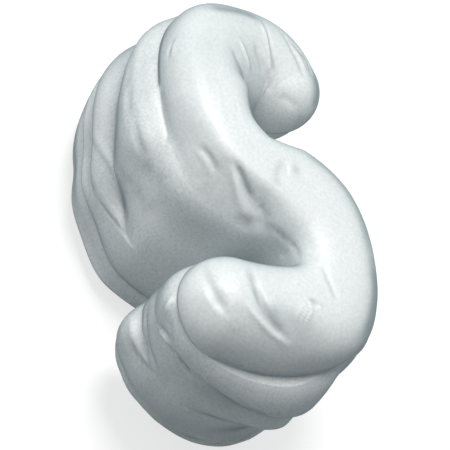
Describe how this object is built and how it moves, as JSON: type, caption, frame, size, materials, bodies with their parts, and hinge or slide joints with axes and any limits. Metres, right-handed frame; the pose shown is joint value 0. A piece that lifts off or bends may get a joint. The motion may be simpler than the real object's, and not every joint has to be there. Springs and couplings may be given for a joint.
{
  "type": "foam packing peanut",
  "caption": "S-shaped packing peanut of puffed white foam, with folds round its sides and two open bays.",
  "frame": {"origin": "on the surface that the piece lies on, under the middle of its box", "axes": "+Y along the length of the S, +Z from the flat strip on its back to the smooth front ribbon, so the S reads rightly from above"},
  "size_m": [0.0288, 0.0512, 0.027],
  "materials": {
    "foam": "satin puffed foam skin, cool white"
  },
  "bodies": {
    "root": {"foam_peanut": "foam"}
  },
  "joints": []
}
